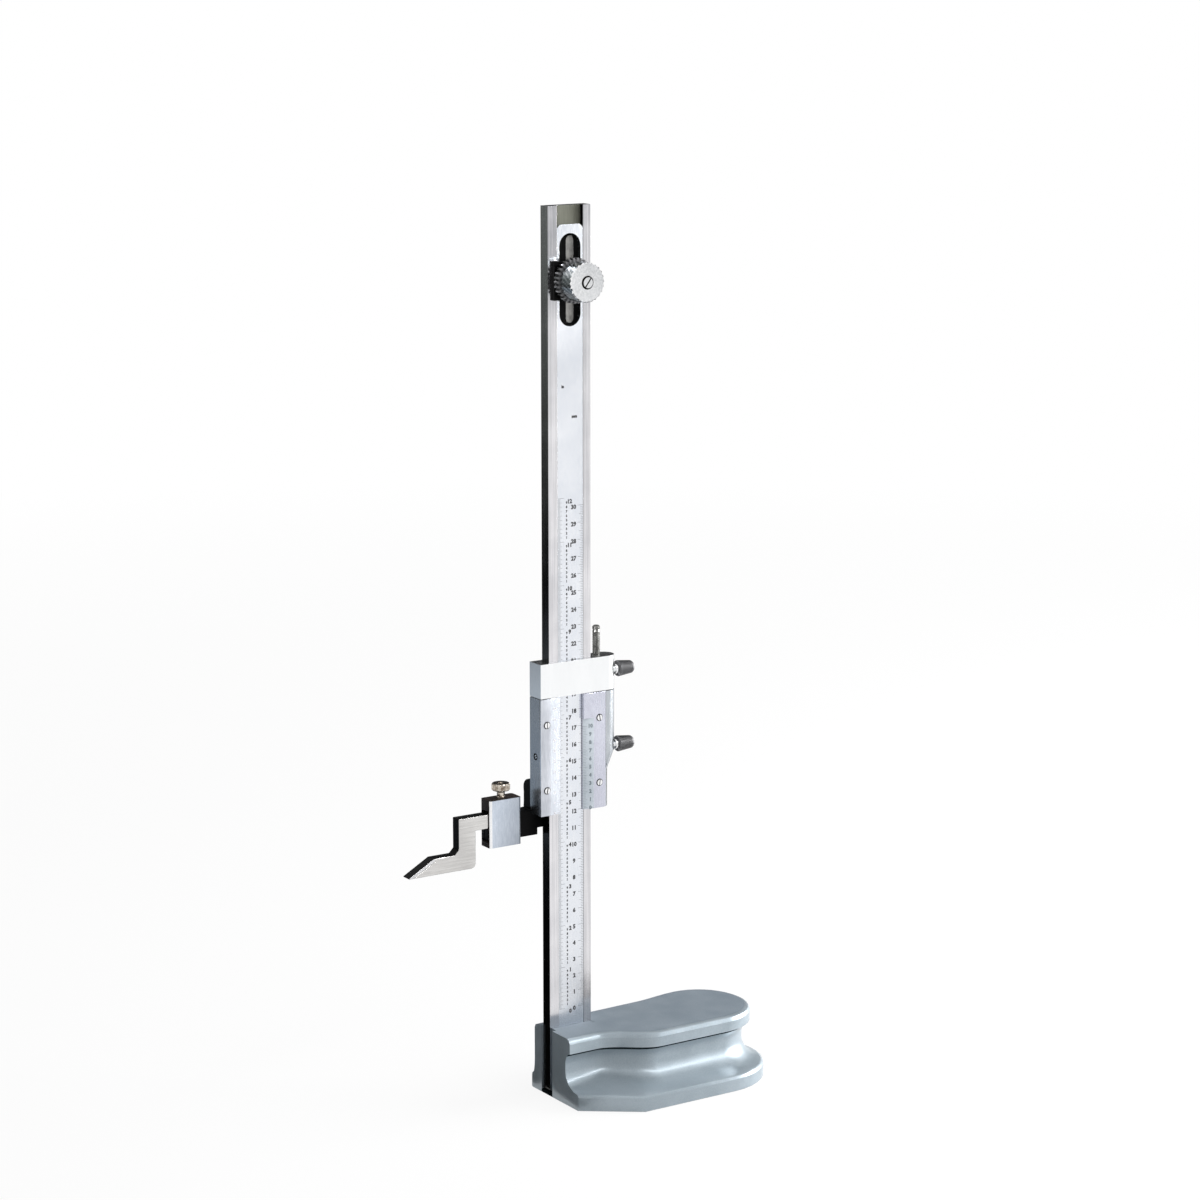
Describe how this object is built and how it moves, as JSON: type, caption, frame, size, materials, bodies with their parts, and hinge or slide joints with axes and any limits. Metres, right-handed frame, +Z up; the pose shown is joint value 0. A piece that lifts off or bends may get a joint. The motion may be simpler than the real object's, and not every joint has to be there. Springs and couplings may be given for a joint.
{
  "type": "vernier height gauge",
  "caption": "Bench height gauge: a grooved cast base, a slotted column with an adjustable scale, a vernier slider with fine feed, and a scriber clamped to its jaw.",
  "frame": {"origin": "on the base's underside, under the column's centre", "axes": "+Z up along the column, +X along the base away from the scriber, -Y towards whoever reads the scale"},
  "size_m": [0.2218, 0.0768, 0.5228],
  "materials": {
    "painted_iron": "satin hammered enamel",
    "ground_steel": "ground, with the grain along the column",
    "satin_chrome": "satin chrome",
    "bright_steel": "bright turned",
    "blacked_steel": "black oxide",
    "brass": "plain",
    "carbide": "ground carbide"
  },
  "bodies": {
    "stand": {"base": "painted_iron", "column": "ground_steel", "column_clamp_plate": "painted_iron", "column_screw_1": "blacked_steel", "column_screw_2": "blacked_steel", "guide_strip": "ground_steel", "adjusting_block": "blacked_steel", "adjusting_block_screw_1": "blacked_steel", "adjusting_block_screw_2": "blacked_steel", "adjusting_block_screw_3": "blacked_steel", "adjusting_block_screw_4": "blacked_steel"},
    "scale": {"main_scale": "satin_chrome"},
    "adjust_wheel": {"adjusting_wheel": "blacked_steel", "pinion_arbor": "ground_steel"},
    "lock_knob": {"scale_lock_knob": "bright_steel", "scale_lock_screw": "bright_steel"},
    "slider": {"slider_frame": "satin_chrome", "slider_gib": "brass", "gib_screw": "bright_steel", "inch_vernier_plate": "satin_chrome", "metric_vernier_plate": "satin_chrome", "vernier_screw_1": "bright_steel", "vernier_screw_2": "bright_steel", "vernier_screw_3": "bright_steel", "vernier_screw_4": "bright_steel", "jaw": "blacked_steel", "jaw_screw_1": "blacked_steel", "jaw_screw_2": "blacked_steel", "jaw_screw_3": "blacked_steel", "jaw_screw_4": "blacked_steel", "feed_screw": "ground_steel", "slider_clamp_shoe": "brass"},
    "slider_clamp": {"slider_clamp_screw": "bright_steel", "slider_clamp_knob": "blacked_steel"},
    "feed_box": {"feed_box": "satin_chrome", "feed_clamp_shoe": "brass"},
    "feed_clamp": {"feed_clamp_screw": "bright_steel", "feed_clamp_knob": "blacked_steel"},
    "feed_nut": {"feed_nut": "brass"},
    "scriber_clamp": {"scriber_clamp": "satin_chrome", "clamp_pad": "brass"},
    "thumb_screw": {"thumb_screw": "bright_steel"},
    "scriber": {"scriber": "bright_steel", "scriber_tip": "carbide"}
  },
  "joints": [
    {"name": "scale_slide", "type": "slide", "parent": "stand", "child": "scale", "axis": [0, 0, 1], "range_m": [-0.006, 0.006]},
    {"name": "wheel_turn", "type": "hinge", "parent": "stand", "child": "adjust_wheel", "pos_m": [0.0006, 0, 0.4808], "axis": [0, 1, 0], "range_deg": [-62, 62]},
    {"name": "lock_knob_turn", "type": "hinge", "parent": "adjust_wheel", "child": "lock_knob", "pos_m": [0.0006, 0, 0.4808], "axis": [0, -1, 0], "range_deg": [0, 180]},
    {"name": "slider_slide", "type": "slide", "parent": "stand", "child": "slider", "axis": [0, 0, 1], "range_m": [-0.1203, 0.1797]},
    {"name": "slider_clamp_turn", "type": "hinge", "parent": "slider", "child": "slider_clamp", "pos_m": [0.03, -0.0016, 0.2065], "axis": [1, 0, 0], "range_deg": [0, 360]},
    {"name": "feed_box_slide", "type": "slide", "parent": "slider", "child": "feed_box", "axis": [0, 0, 1], "range_m": [0, 0.006]},
    {"name": "feed_nut_turn", "type": "hinge", "parent": "feed_box", "child": "feed_nut", "pos_m": [0.0226, 0.0032, 0.2459], "axis": [0, 0, 1], "range_deg": [0, 2165]},
    {"name": "feed_clamp_turn", "type": "hinge", "parent": "feed_box", "child": "feed_clamp", "pos_m": [0.03, -0.0016, 0.2517], "axis": [1, 0, 0], "range_deg": [0, 360]},
    {"name": "scriber_clamp_slide", "type": "slide", "parent": "slider", "child": "scriber_clamp", "axis": [1, 0, 0], "range_m": [-0.005, 0.001]},
    {"name": "thumb_screw_turn", "type": "hinge", "parent": "scriber_clamp", "child": "thumb_screw", "pos_m": [-0.039, 0.0097, 0.18], "axis": [0, 0, 1], "range_deg": [0, 360]},
    {"name": "scriber_slide", "type": "slide", "parent": "slider", "child": "scriber", "axis": [1, 0, 0], "range_m": [-0.004, 0.003]}
  ],
  "couplings": [
    {"joint": "wheel_turn", "follows": "scale_slide", "rad_per_m": 178.57},
    {"joint": "feed_nut_turn", "follows": "feed_box_slide", "rad_per_m": 6283.2}
  ]
}
